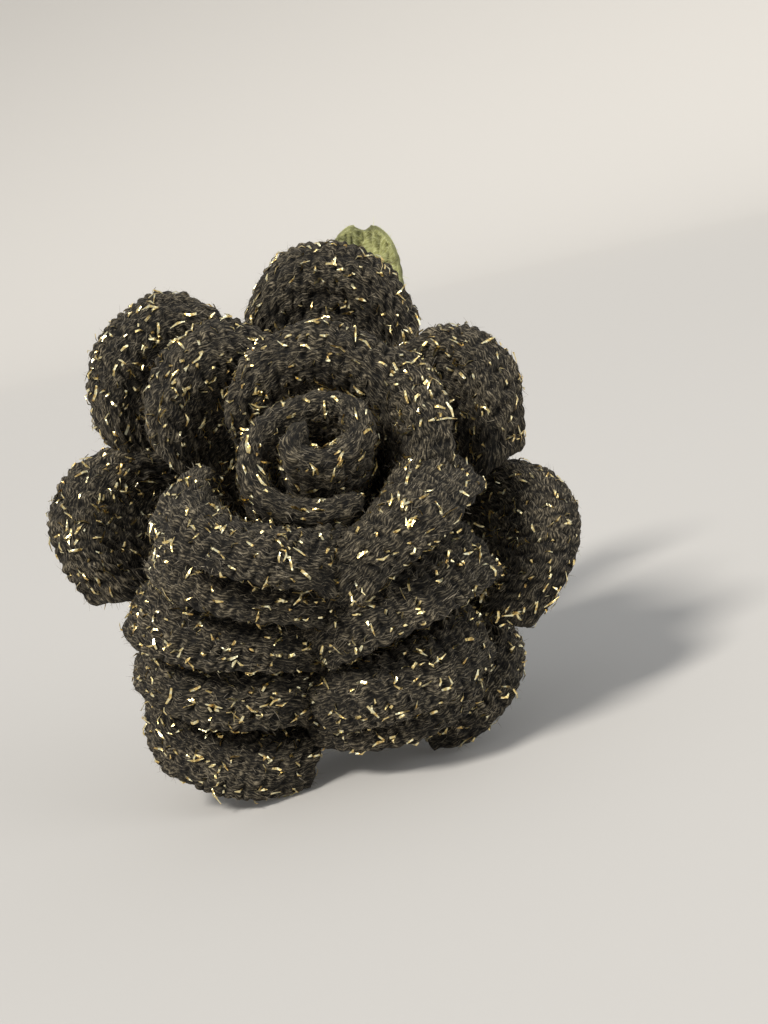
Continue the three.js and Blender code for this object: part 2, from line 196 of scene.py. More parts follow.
def noise(p, seed=0):
    """Smooth noise in -1..1 at the points p, with one lump for each unit."""
    base = np.floor(p).astype(np.int64)
    f = smooth(p - base)
    total = np.zeros(p.shape[:-1])
    for corner in np.ndindex(2, 2, 2):
        w = np.ones(p.shape[:-1])
        for axis in range(3):
            w = w * (f[..., axis] if corner[axis] else 1 - f[..., axis])
        at = base + np.array(corner)
        total += w * lattice(at[..., 0], at[..., 1], at[..., 2], seed)
    return total


def cell_random(i, j, seed):
    """A random number in -1..1 for each stitch."""
    return lattice(i.astype(np.int64), j.astype(np.int64), np.zeros(i.shape, dtype=np.int64), seed)


# Lengths over the round edge of a cloth

def rim_ward(count, length, half):
    """Steps from 0 at the foot to 1 at the rim, closer together toward the rim, and even over
    the round edge of a cloth of that half thickness."""
    x = np.linspace(0, 1, count)
    extra = half * (np.pi / 2 - 1)
    left = (length + extra) * (1 - x - 0.1 * np.sin(np.pi * x))
    left = np.where(left < half * np.pi / 2, half * (1 - np.cos(left / half)), left - extra)
    return 1 - left / length


def over_edge(v, half):
    """Length over the round edge of the cloth to where it is v away from the rim."""
    return np.where(v < half, half * np.arccos(np.clip(1 - v / half, -1, 1)), v + half * (np.pi / 2 - 1))


# Crochet as a height and a direction of the yarn

def crochet(u, v, seed):
    """Height of rows of single crochet at the cloth's own u, v, about 1 on top of a loop, with
    the place along and across the fibres there."""
    at = np.stack([u / DRIFT["patch"], v / DRIFT["patch"], np.full_like(u, seed * 3.7)], -1)
    wander = noise(at, seed)
    uu = u + DRIFT["amount"] * wander
    vv = v + DRIFT["amount"] * noise(at + 11.3, seed)
    row = np.floor(vv / ROW)
    y = vv / ROW - row
    shifted = uu / STITCH + 0.5 * np.mod(row, 2)
    column = np.floor(shifted)
    x = shifted - column - 0.5
    # Some stitches are looser than others, and some slant
    loose = 0.86 + 0.26 * cell_random(column, row, seed)
    slant = 0.14 * cell_random(column, row, seed + 7)
    height = np.zeros_like(u)
    for side in (-1, 1):
        centre = side * (LEG["foot"] + LEG["part"] * y) + slant * (y - 0.5)
        d = (x - centre) / LEG["half"]
        leg = np.sqrt(np.clip(1 - d * d, 0, 1)) * (0.5 + 0.5 * np.sin(np.pi * y))
        height = np.maximum(height, leg * loose)
    bar = np.exp(-((y - 1) / BAR["half"]) ** 2) + np.exp(-(y / BAR["half"]) ** 2)
    height = np.maximum(height, BAR["height"] * bar * (0.75 + 0.25 * np.cos(2 * np.pi * x)))
    fine = np.stack([u / FLUFF["along"], v / FLUFF["across"], np.full_like(u, seed * 1.9)], -1)
    height = height + FLUFF["height"] * noise(fine, seed + 3)
    bend = BEND["stitch"] * np.cos(2 * np.pi * x) * np.sin(np.pi * y) + BEND["wander"] * wander
    return height, u + 0.8 * noise(fine * 0.5, seed + 5) + 40.0 * seed, v + bend


# Meshes

def mesh_object(name, points, faces, material, smooth_shade=True, yarn=None):
    """A mesh object from points in millimetres, none of them under the floor, and faces that
    all have the same number of corners."""
    mesh = bpy.data.meshes.new(name)
    faces = np.ascontiguousarray(faces, dtype=np.int32)
    count, corners = faces.shape
    mesh.vertices.add(len(points))
    above = np.array(points, dtype=np.float32)
    above[:, 2] = np.maximum(above[:, 2], 0.0)
    mesh.vertices.foreach_set("co", (above * 0.001).ravel())
    mesh.loops.add(count * corners)
    mesh.loops.foreach_set("vertex_index", faces.ravel())
    mesh.polygons.add(count)
    mesh.polygons.foreach_set("loop_start", np.arange(0, count * corners, corners, dtype=np.int32))
    mesh.polygons.foreach_set("use_smooth", np.full(count, smooth_shade, dtype=bool))
    mesh.update(calc_edges=True)
    if yarn is not None:
        layer = mesh.attributes.new("yarn", "FLOAT_VECTOR", "POINT")
        layer.data.foreach_set("vector", np.asarray(yarn, dtype=np.float32).ravel())
    mesh.materials.append(material)
    mesh.validate()
    obj = bpy.data.objects.new(name, mesh)
    bpy.context.scene.collection.objects.link(obj)
    return obj


def tangents(points, closed=False):
    """Normal, direction across and direction up at each point of a grid."""
    if closed:
        across = np.roll(points[:, :-1], -1, 1) - np.roll(points[:, :-1], 1, 1)
        across = np.concatenate([across, across[:, :1]], 1)
    else:
        across = np.gradient(points, axis=1)
    up = np.gradient(points, axis=0)
    normal = np.cross(across, up)
    return [a / (np.linalg.norm(a, axis=-1, keepdims=True) + 1e-12) for a in (normal, across, up)]


def arc(points, axis):
    """Length along a grid's lines."""
    steps = np.linalg.norm(np.diff(points, axis=axis), axis=-1)
    total = np.cumsum(steps, axis)
    return np.concatenate([np.zeros_like(np.take(total, [0], axis)), total], axis)


def edge_distance(points):
    """Length along a grid's lines to its nearest edge."""
    across = arc(points, 1)
    up = arc(points, 0)
    return np.minimum(np.minimum(across, across[:, -1:] - across), np.minimum(up, up[-1:, :] - up))


def grid_faces(rows, columns):
    index = np.arange(rows * columns).reshape(rows, columns)
    a, b, c, d = index[:-1, :-1], index[:-1, 1:], index[1:, 1:], index[1:, :-1]
    return np.stack([a, b, c, d], -1).reshape(-1, 4)


def cloth(name, points, u, v, thickness, seed, material, wave=1.0, scallop=0.9):
    """A closed piece of crochet around a middle surface. Gives the object and its two sides,
    each as a grid and the sign of its normal."""
    rows, columns = points.shape[:2]
    half = thickness / 2
    v = over_edge(v, half)
    normal, across, up = tangents(points)
    edge = edge_distance(points)
    near_edge = np.clip(1 - edge / WAVE["edge"], 0, 1)
    soft = noise(points / WAVE["large"] + seed * 5.1, seed)
    soft = soft + 0.45 * noise(points / WAVE["small"] + seed * 2.3, seed + 9)
    points = points + normal * (wave * (0.4 + 0.6 * near_edge) * soft)[..., None]
    # Stitches stand out along the rim and the sides
    share = np.linspace(0, 1, rows)[:, None]
    side = np.linspace(-1, 1, columns)[None, :]
    at_rim = smooth((share - 1 + MARGIN) / MARGIN) + 0 * side
    at_side = smooth((np.abs(side) - 1 + MARGIN) / MARGIN) * (1 - at_rim)
    rim_bump = scallop * (np.abs(np.cos(np.pi * u / STITCH)) - 0.45) + 0.5 * noise(points / 5.0, seed + 21)
    side_bump = scallop * (np.abs(np.cos(np.pi * v / ROW)) - 0.45)
    points = points + up * (rim_bump * at_rim)[..., None]
    points = points + across * (np.sign(side) * side_bump * at_side)[..., None]
    normal = tangents(points)[0]
    # The edge is round, and the loops fade out on it
    body = half * np.sqrt(np.clip(1 - (1 - np.clip(edge / half, 0, 1)) ** 2, 0, 1))
    fade = np.clip(edge / 1.4, 0, 1)
    grids = []
    yarn = []
    for sign, shift in ((1, 0), (-1, 91)):
        h, along, over = crochet(u + shift, v, seed + shift)
        lift = (h - 0.62) * LOOP_HEIGHT
        grids.append(points + normal * (sign * (body + lift * fade))[..., None])
        yarn.append(np.stack([along, over, h], -1))
    # Both sides share the points along the edge
    front = grid_faces(rows, columns)
    back = front[:, ::-1] + rows * columns
    border = np.zeros((rows, columns), bool)
    border[[0, -1]] = True
    border[:, [0, -1]] = True
    on_border = np.flatnonzero(border)
    shared = np.arange(2 * rows * columns)
    shared[rows * columns + on_border] = on_border
    used, faces = np.unique(shared[np.concatenate([front, back])], return_inverse=True)
    every = np.concatenate([g.reshape(-1, 3) for g in grids])[used]
    info = np.concatenate([y.reshape(-1, 3) for y in yarn])[used]
    obj = mesh_object(name, place(every), faces.reshape(-1, 4), material, yarn=info)
    return obj, [(grids[0], 1), (grids[1], -1)]


def skin(name, points, u, v, seed, material):
    """Crochet over a surface that closes on itself sideways, seen from outside only. Gives the
    object and its outer side, as cloth does."""
    normal = tangents(points, closed=True)[0]
    h, along, over = crochet(u, v, seed)
    grid = points + normal * ((h - 0.8) * CALYX_LOOP_HEIGHT)[..., None]
    grid[:, -1] = grid[:, 0]
    yarn = np.stack([along, over, h], -1).reshape(-1, 3)
    obj = mesh_object(name, place(grid.reshape(-1, 3)), grid_faces(*points.shape[:2]), material, yarn=yarn)
    return obj, [(grid, 1)]


def wound(name, path, radius, material, in_head=True):
    """Yarn wound round a path: the turns stand out as a screw of soft ridges, and the ends are round."""
    total = arc(path[None], 1)[0]
    count = int(total[-1] / WOUND_STEP) + 2
    along = np.linspace(0, total[-1], count)
    centre = np.stack([np.interp(along, total, path[:, k]) for k in range(3)], -1)
    ahead = np.gradient(centre, axis=0)
    ahead /= np.linalg.norm(ahead, axis=1, keepdims=True)
    side = np.cross(ahead, np.array([0.0, 0.3, 1.0]))
    side /= np.linalg.norm(side, axis=1, keepdims=True)
    top = np.cross(side, ahead)
    around = np.linspace(0, 2 * np.pi, 21)
    phase = along[:, None] / WINDING - around[None, :] / (2 * np.pi)
    ridge = np.abs(np.sin(np.pi * phase))
    uneven = noise(np.stack([along[:, None] / 1.3 + 0 * around, around + 0 * phase, phase], -1))
    size = radius - RIDGE + RIDGE * ridge + 0.08 * uneven
    end = np.minimum(along, along[-1] - along)[:, None]
    size = size * np.sqrt(np.clip(end / 0.8, 0.02, 1))
    ring = side[:, None] * np.cos(around)[None, :, None] + top[:, None] * np.sin(around)[None, :, None]
    points = (centre[:, None] + ring * size[..., None]).reshape(-1, 3)
    if in_head:
        points = place(points)
    # The third value is the height of the ridge, from which the material paints shade into the grooves
    # between the turns
    yarn = np.stack([around[None] * radius + 0 * phase, phase * WINDING, 0.25 + 0.75 * ridge], -1)
    return mesh_object(name, points, grid_faces(count, len(around)), material, yarn=yarn.reshape(-1, 3))


# Threads on the cloth

def scatter(grids, density, rng):
    """Random points over the cloth: position, normal, direction across and direction up."""
    found = []
    for g, sign in grids:
        corner = g[:-1, :-1]
        across = g[:-1, 1:] - corner
        up = g[1:, :-1] - corner
        cross = np.cross(across, up)
        area = np.linalg.norm(cross, axis=-1)
        count = rng.poisson(area * density)
        r, c = np.nonzero(count)
        repeats = count[r, c]
        r = np.repeat(r, repeats)
        c = np.repeat(c, repeats)
        a = rng.random((len(r), 1))
        b = rng.random((len(r), 1))
        n = sign * cross[r, c] / (area[r, c][:, None] + 1e-12)
        t = across[r, c] / (np.linalg.norm(across[r, c], axis=1, keepdims=True) + 1e-12)
        found.append((corner[r, c] + across[r, c] * a + up[r, c] * b, n, t, np.cross(n, t)))
    return [np.concatenate(x) for x in zip(*found)]


def toward(across, up, turn):
    """Directions in the cloth at these angles from the rows."""
    return across * np.cos(turn)[:, None] + up * np.sin(turn)[:, None]


def strands(name, lanes, faces, material, smooth_shade=True):
    """Many alike small pieces as one mesh: a lane holds one point of each, and the faces are
    those of one piece."""
    points = np.stack(lanes, 1).reshape(-1, 3)
    every = np.array(faces)[None] + (np.arange(len(lanes[0])) * len(lanes))[:, None, None]
    return mesh_object(name, place(points), every.reshape(-1, 4), material, smooth_shade)


def fibres(name, spots, rng, material):
    """Loose fibres that lie along the rows and lift off the cloth at one end. The wild ones
    point anywhere and rise further."""
    position, n, across, up = spots
    count = len(position)
    turn = rng.normal(0, 0.34, count) + np.pi * rng.integers(0, 2, count)
    wild = rng.random(count) < FIBRE["wild"]
    turn = np.where(wild, rng.random(count) * 2 * np.pi, turn)
    forward = toward(across, up, turn)
    side = np.cross(n, forward)
    rise = np.where(wild, rng.uniform(0.15, 0.75, count), rng.uniform(0.02, 0.35, count))[:, None]
    size = rng.uniform(*FIBRE["length"], count)[:, None]
    curve = rng.normal(0, 0.17, count)[:, None]
    width = rng.uniform(*FIBRE["width"], count)[:, None]
    lanes = []
    for t in (0.0, 0.5, 1.0):
        centre = position + forward * (size * t * np.cos(rise)) + n * (size * t * np.sin(rise) - 0.05)
        centre = centre + side * (curve * size * t * t)
        half = side * (width / 2 * (1 - 0.8 * t))
        lanes += [centre - half, centre + half]
    return strands(name, lanes, [[0, 1, 3, 2], [2, 3, 5, 4]], material)


def gold_threads(name, spots, rng, material):
    """Short stretches of flat metallic thread that come up out of the cloth and go back in.
    Nearly half of them lie along the rows."""
    position, n, across, up = spots
    count = len(position)
    along_rows = rng.random(count) < GOLD_THREAD["along_rows"]
    turn = np.where(along_rows, rng.normal(0, 0.4, count), rng.random(count) * 2 * np.pi)
    forward = toward(across, up, turn)
    size = rng.gamma(6.0, 0.38, count).clip(*GOLD_THREAD["length"])[:, None]
    curve = rng.normal(0, 0.09, count)[:, None]
    width = rng.uniform(*GOLD_THREAD["width"], count)[:, None]
    ends = rng.uniform(0.2, 1.0, count)[:, None]
    roll = rng.normal(0, 0.35, count)[:, None]
    twist = rng.normal(0, 0.4, count)[:, None]
    flat = np.cross(n, forward)
    depth = GOLD_THREAD["depth"]
    lanes = []
    segments = 2
    for k in range(segments + 1):
        part = k / segments
        arch = 4 * part * (1 - part)
        angle = roll + twist * (2 * part - 1)
        side = flat * np.cos(angle) + n * np.sin(angle)
        face = n * np.cos(angle) - flat * np.sin(angle)
        centre = position + forward * (size * (part - 0.5)) + n * (depth + GOLD_THREAD["arch"] * arch)
        centre = centre + flat * (curve * size * arch)
        half = side * (width / 2 * (ends + (1 - ends) * arch))
        lanes += [centre - half, centre + half, centre - face * depth]
    faces = []
    for k in range(segments):
        for e in range(3):
            f = (e + 1) % 3
            faces.append([3 * k + e, 3 * k + 3 + e, 3 * k + 3 + f, 3 * k + f])
    return strands(name, lanes, faces, material, smooth_shade=False)


# Materials: a scale is a number of lumps for each metre

def new_material(name):
    material = bpy.data.materials.new(name)
    material.use_nodes = True
    return material, material.node_tree, material.node_tree.nodes["Principled BSDF"]


def settings(node, values):
    """Numbers and colours on a node's own sockets."""
    for socket, value in values.items():
        node.inputs[socket].default_value = value


def ramp(tree, source, stops):
    """Colours by value: stops are (value, colour) in rising order."""
    node = tree.nodes.new("ShaderNodeValToRGB")
    elements = node.color_ramp.elements
    elements[0].position = stops[0][0]
    elements[0].color = (*stops[0][1], 1)
    elements[1].position = stops[-1][0]
    elements[1].color = (*stops[-1][1], 1)
    for at, colour in stops[1:-1]:
        elements.new(at).color = (*colour, 1)
    tree.links.new(source, node.inputs["Fac"])
    return node.outputs["Color"]


def times(tree, value, number):
    """A value multiplied by a number."""
    node = tree.nodes.new("ShaderNodeMath")
    node.operation = "MULTIPLY"
    tree.links.new(value, node.inputs[0])
    node.inputs[1].default_value = number
    return node.outputs[0]


def plus(tree, first, second):
    """Two values added."""
    node = tree.nodes.new("ShaderNodeMath")
    tree.links.new(first, node.inputs[0])
    tree.links.new(second, node.inputs[1])
    return node.outputs[0]


def shaded(tree, colour, shade):
    """A colour multiplied by a shade."""
    node = tree.nodes.new("ShaderNodeMix")
    node.data_type = "RGBA"
    node.blend_type = "MULTIPLY"
    node.inputs["Factor"].default_value = 1.0
    tree.links.new(colour, node.inputs[6])
    tree.links.new(shade, node.inputs[7])
    return node.outputs[2]


def noise_node(tree, vector, scale, detail=2.0, roughness=0.5):
    node = tree.nodes.new("ShaderNodeTexNoise")
    settings(node, {"Scale": scale, "Detail": detail, "Roughness": roughness})
    tree.links.new(vector, node.inputs["Vector"])
    return node.outputs["Fac"]


def object_place(tree):
    return tree.nodes.new("ShaderNodeTexCoord").outputs["Object"]


def bumped(tree, shader, height, strength, distance):
    """A relief from a height, over a distance in metres."""
    node = tree.nodes.new("ShaderNodeBump")
    settings(node, {"Strength": strength, "Distance": distance})
    tree.links.new(height, node.inputs["Height"])
    tree.links.new(node.outputs["Normal"], shader.inputs["Normal"])


def yarn_material(name, colours, sheen, sheen_tint, hollow_shade=0.18, worn=0.5):
    """Matt yarn in three colours from dark to light; the light one is partly painted highlight on the fibres.
    Fibres run along it, the hollows between the loops get painted shade, darker by the factor hollow_shade,
    and some patches are darker by the factor worn."""
    material, tree, shader = new_material(name)
    dark, middle, light = colours
    attribute = tree.nodes.new("ShaderNodeAttribute")
    attribute.attribute_name = "yarn"
    split = tree.nodes.new("ShaderNodeSeparateXYZ")
    tree.links.new(attribute.outputs["Vector"], split.inputs[0])
    # Strands have 0.68 lumps for each millimetre along them and 2.9 across
    stretch = tree.nodes.new("ShaderNodeCombineXYZ")
    tree.links.new(times(tree, split.outputs["X"], 0.68), stretch.inputs["X"])
    tree.links.new(times(tree, split.outputs["Y"], 2.9), stretch.inputs["Y"])
    strand = noise_node(tree, stretch.outputs[0], 1.0, 4.0, 0.62)
    coordinates = object_place(tree)
    fluff = noise_node(tree, coordinates, 1300)
    patch = noise_node(tree, coordinates, 170)
    mixed = plus(tree, times(tree, strand, 0.8), times(tree, fluff, 0.2))
    # The streaks are partly the yarn's own uneven fibres and partly painted highlight, carried by the light
    # colour
    colour = ramp(tree, mixed, [(0.42, dark), (0.51, middle), (0.62, light)])
    # Painted shade: the lower the yarn's height, the darker, so the hollows between loops and the grooves
    # between wound turns look shaded
    hollow = ramp(tree, split.outputs["Z"], [(0.12, (hollow_shade, hollow_shade, hollow_shade)), (0.72, (1, 1, 1))])
    patches = ramp(tree, patch, [(0.38, (worn, worn, worn)), (0.62, (1, 1, 1))])
    colour = shaded(tree, shaded(tree, colour, hollow), patches)
    tree.links.new(colour, shader.inputs["Base Color"])
    bumped(tree, shader, mixed, 1.0, 0.0009)
    settings(shader, {"Roughness": 0.85, "Specular IOR Level": 0.3, "Sheen Weight": sheen,
                      "Sheen Roughness": 0.4, "Sheen Tint": (*sheen_tint, 1)})
    return material


def fibre_material(name, low, high, sheen):
    """Loose fibres, each of its own shade; the lighter shades are partly painted highlight on the fuzz."""
    material, tree, shader = new_material(name)
    colour = ramp(tree, noise_node(tree, object_place(tree), 420), [(0.35, low), (0.68, high)])
    tree.links.new(colour, shader.inputs["Base Color"])
    settings(shader, {"Roughness": 0.6, "Sheen Weight": sheen})
    return material


def metal_material(name, scale, shades, dents, strength, distance, roughness):
    """Metal with patches of these shades and shallow dents of another scale."""
    material, tree, shader = new_material(name)
    coordinates = object_place(tree)
    tree.links.new(ramp(tree, noise_node(tree, coordinates, scale), shades), shader.inputs["Base Color"])
    bumped(tree, shader, noise_node(tree, coordinates, dents), strength, distance)
    settings(shader, {"Metallic": 1.0, "Roughness": roughness})
    return material


# The third colour of each yarn and the high colour of its loose fibres are partly painted highlight on the
# fibres
BLACK = yarn_material("black_yarn", ((0.0045, 0.0036, 0.0024), (0.045, 0.0372, 0.0246), (0.32, 0.268, 0.178)),
                      0.03, (0.8, 0.72, 0.6))
BLACK_FIBRE = fibre_material("black_fibre", (0.026, 0.022, 0.015), (0.34, 0.287, 0.198), 0.1)
# The gold's middle colour is its own; its darker and paler patches are painted shade and painted highlight
# that band each thread along its length
GOLD = metal_material("gold_thread", 850, [(0.36, (0.55, 0.36, 0.13)), (0.45, (0.95, 0.74, 0.31)),
                                           (0.6, (1.0, 0.93, 0.62))], 1500, 0.6, 0.0003, 0.3)
STEEL = metal_material("drawn_steel", 900, [(0.35, (0.33, 0.32, 0.31)), (0.65, (0.56, 0.56, 0.57))],
                       5000, 0.4, 0.0002, 0.36)
GREEN = yarn_material("green_yarn", ((0.008, 0.022, 0.007), (0.028, 0.07, 0.02), (0.08, 0.17, 0.055)),
                      0.1, (0.8, 0.9, 0.7))
GREEN_FIBRE = fibre_material("green_fibre", (0.03, 0.07, 0.02), (0.10, 0.2, 0.07), 0.2)
# The leaf's yarn has weaker painted shade in its hollows than the other yarns
LEAF_YARN = yarn_material("leaf_yarn", ((0.36, 0.36, 0.12), (0.54, 0.55, 0.23), (0.72, 0.72, 0.37)),
                          0.1, (0.95, 0.95, 0.8), hollow_shade=0.5, worn=0.75)
LEAF_FIBRE = fibre_material("leaf_fibre", (0.4, 0.41, 0.15), (0.68, 0.7, 0.38), 0.1)


# Shapes: each grid comes with the cloth's own u across and v down from the rim

def foot_of(seat, crest):
    """Where a petal stands on the hip, in (radius, height)."""
    along = np.array([HIP["rim_radius"] - HIP_TOP_RADIUS, HIP["rim_height"] - HIP["top"]])
    normal = np.array([-along[1], along[0]]) / np.hypot(*along)
    at = np.array([HIP_TOP_RADIUS, HIP["top"]]) + along * seat
    heading = math.atan2(crest[0] - at[0], crest[1] - at[1]) - BULGE * DEG
    lean = abs(normal[0] * math.cos(heading) - normal[1] * math.sin(heading))
    return at + normal * (FABRIC / 2 * lean + CLEARANCE)


def petal_grid(petal, columns, rows):
    """Middle surface of a petal: each column is a bowed line that ends in a curl."""
    name, azimuth, seat, crest, rim_half, foot_half, tilt, curl_length = petal
    tucked = any(word in name for word in TUCKED)
    lower, higher = SPREAD.get(name, (0, 0))
    curl = (CURL + TUCK["curl"] * tucked) * DEG
    curl_length = curl_length + TUCK["length"] * tucked
    foot = foot_of(seat, crest)
    chord = math.hypot(crest[0] - foot[0], crest[1] - foot[1])
    heading = math.atan2(crest[0] - foot[0], crest[1] - foot[1])
    bulge = BULGE * DEG
    body = chord * bulge / math.sin(bulge)
    reach = body + curl_length
    s = np.linspace(-1, 1, columns)
    rim_half = rim_half + np.where(s < 0, lower, higher)
    length = reach * (1 - DROP * np.abs(s) ** DROP_POWER)
    steps = 200
    step = length[:, None] / steps
    mid = (np.arange(steps) + 0.5) * step
    curled = np.clip(1 + (mid - length[:, None]) / curl_length, 0, 1)
    lean = heading + bulge * (2 * np.minimum(mid, body) / body - 1) + curl * curled
    start = np.zeros((columns, 1))
    radius = foot[0] + np.concatenate([start, np.cumsum(np.sin(lean) * step, 1)], 1)
    height = foot[1] + np.concatenate([start, np.cumsum(np.cos(lean) * step, 1)], 1)
    t = rim_ward(rows, reach, FABRIC / 2)
    known = np.linspace(0, 1, steps + 1)
    radius = np.stack([np.interp(t, known, r) for r in radius], 1)
    height = np.stack([np.interp(t, known, h) for h in height], 1)
    along = t[:, None] * length[None, :] / reach
    half = foot_half + (rim_half - foot_half) * np.sin(np.minimum(1, along / FULL_WIDTH) * np.pi / 2)
    angle = azimuth * DEG + s * half / radius[:, columns // 2][:, None]
    out = radius + tilt * s * along
    points = np.stack([out * np.cos(angle), out * np.sin(angle), height], -1)
    return points, s * half, (1 - t[:, None]) * length


def bud_grid(columns, rows):
    """The bud's strip, rolled up round the head's axis. It opens from foot to rim, and leans."""
    share = np.linspace(0, 1, columns)[None, :]
    half = (BUD_RIM["thickness"] + SWELL["thickness"]) / 2
    t = rim_ward(rows, BUD_TOP - BUD_BASE, half)[:, None]
    angle = share * BUD_TURNS * 2 * np.pi + BUD_START * DEG
    pitch = BUD_FOOT["pitch"] + (BUD_RIM["pitch"] - BUD_FOOT["pitch"]) * t
    pitch = pitch + SWELL["pitch"] * smooth((t - 0.3) / 0.5)
    top = BUD_TOP - BUD_RIM["drop"] * share ** 1.5
    height = BUD_BASE + (top - BUD_BASE) * t
    closed = SWELL["closed"] * (1 - share) ** 3 * smooth((t - 0.5) / 0.4)
    radius = BUD_IN + pitch * BUD_TURNS * share + 0.5 * smooth((t - 0.8) / 0.1) - closed
    lean_way = BUD_LEAN["azimuth"] * DEG
    open_way = SWELL["azimuth"] * DEG
    open_side = smooth(radius * np.cos(angle - open_way) / 20 + 0.55)
    aside = SWELL["aside"] * open_side * smooth((t - 0.25) / 0.5)
    shift = BUD_LEAN["amount"] * t * t
    x = radius * np.cos(angle) + shift * math.cos(lean_way) + aside * math.cos(open_way)
    y = radius * np.sin(angle) + shift * math.sin(lean_way) + aside * math.sin(open_way)
    points = np.stack([x, y, height], -1)
    return points, arc(points[-1:], 1) + 0 * height, (1 - t) * (top - BUD_BASE)


def unit_grid(columns, rows):
    """Share from the foot to the tip as a column, and from side to side, -1..1, as a row."""
    return np.linspace(0, 1, rows)[:, None], np.linspace(-1, 1, columns)[None, :]


def sepal_grid(azimuth, columns, rows):
    """A sepal: it narrows to its tip, rises toward it and is hollow across."""
    t, s = unit_grid(columns, rows)
    r = SEPAL["root"] + (SEPAL["reach"] - SEPAL["root"]) * t
    taper = (np.maximum(0, t - 0.2) / 0.83) ** 2
    half = SEPAL["half"] * np.sqrt(np.clip(1 - taper, 0.004, 1))
    z = HIP["waist_height"] + 0.4 + SEPAL["rise"] * t ** 1.6 + 1.2 * s * s
    points = turned(np.stack([r + 0 * s, s * half, z], -1), azimuth)
    return points, s * half, (1 - t) * (SEPAL["reach"] - SEPAL["root"]) + 0 * s


def leaf_rise(r):
    """Height of the leaf's middle at a distance from the head's axis."""
    return HIP["neck"] - LEAF["below"] + LEAF["rise"] * (r / LEAF["blade_to"]) ** 2


def leaf_grid(columns, rows):
    """The leaf's blade: its stitches slant away from a drawn-in line of chain along the middle."""
    t, s = unit_grid(columns, rows)
    r = LEAF["blade_from"] + (LEAF["blade_to"] - LEAF["blade_from"]) * t
    # Widest a little below the middle, with a blunt tip
    share = np.abs(t - 0.45) / np.where(t > 0.45, 0.555, 0.455)
    half = LEAF["half"] * np.sqrt(np.clip(1 - share ** np.where(t > 0.45, 5, 2.2), 0.008, 1))
    z = leaf_rise(r) + 2.4 * s * s - 1.1 * np.exp(-(s * half / 1.3) ** 2)
    points = turned(np.stack([r + 0 * s, s * half + 1.6 * t * t, z], -1), LEAF["azimuth"])
    return points, s * half, (1 - t) * (LEAF["blade_to"] - LEAF["blade_from"]) + 0.7 * np.abs(s * half)


def profile_grid(profile, columns, rows):
    """A surface of revolution about the head's axis from (radius, height) points, with a whole
    number of stitches round it."""
    line = np.array(profile, dtype=float)
    total = np.concatenate([[0], np.cumsum(np.hypot(*np.diff(line, axis=0).T))])
    at = np.linspace(0, total[-1], rows)
    r = np.interp(at, total, line[:, 0])[:, None]
    z = np.interp(at, total, line[:, 1])[:, None]
    points, angle = revolved(r, z, columns)
    around = round(2 * math.pi * line[:, 0].mean() / STITCH) * STITCH
    return points, angle / (2 * np.pi) * around + 0 * r, at[::-1, None] + 0 * angle


def stem_path():
    """From the calyx back along the head's axis, round the bend and along the table."""
    axis = HEAD @ np.array([0.0, 0.0, 1.0])
    start = np.array(HEAD_BASE) + axis * (HIP["neck"] - CLEARANCE)
    tilt = HEAD_TILT * DEG
    drop = STEM_BEND * (1 - math.cos(tilt))
    straight = (start[2] - STEM_RADIUS - drop) / math.sin(tilt)
    bend_at = start - axis * straight
    points = [start, bend_at]
    for k in range(1, 13):
        a = tilt * k / 12
        y = bend_at[1] + STEM_BEND * (math.sin(tilt) - math.sin(tilt - a))
        z = STEM_RADIUS + STEM_BEND * (1 - math.cos(tilt - a))
        points.append(np.array([bend_at[0], y, z]))
    points.append(points[-1] + np.array([0, STEM_ALONG, 0]))
    return np.array(points)


# Pieces: each has its own number as a seed for its cloth, and another from 100 up for its threads

def dress(obj, slot, *nodes):
    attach(obj, "root")
    if nodes:
        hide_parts(*nodes)


def fitted(grid_function):
    """A grid with as many columns and rows as make its cells about CLOTH_STEP wide."""
    points = grid_function(15, 15)[0]
    wide = arc(points, 1)[:, -1].max()
    tall = arc(points, 0)[-1].max()
    return grid_function(int(wide / CLOTH_STEP) // 2 * 2 + 1, int(CELL_SHAPE * tall / CLOTH_STEP) + 1)


def thread_over(name, grids, seed, slot, fibre, gold=True):
    rng = np.random.default_rng(seed)
    dress(fibres(f"{name}_fibres", scatter(grids, FIBRE["density"], rng), rng, fibre), slot)
    if gold:
        dress(gold_threads(f"{name}_gold", scatter(grids, GOLD_THREAD["density"], rng), rng, GOLD), slot)


def make_petals():
    for number, petal in enumerate(PETALS):
        name = petal[0]
        points, u, v = fitted(lambda columns, rows: petal_grid(petal, columns, rows))
        obj, grids = cloth(f"{name}_cloth", points, u, v, FABRIC - LOOP_ROOM, number + 1, BLACK)
        dress(obj, "black_yarn", name)
        thread_over(name, grids, 100 + number, "black_yarn", BLACK_FIBRE)


def make_bud():
    points, u, v = fitted(bud_grid)
    thickness = BUD_RIM["thickness"] + SWELL["thickness"]
    obj, grids = cloth("bud_cloth", points, u, v, thickness, 40, BLACK, wave=0.8)
    dress(obj, "black_yarn", "bud")
    thread_over("bud", grids, 140, "black_yarn", BLACK_FIBRE)


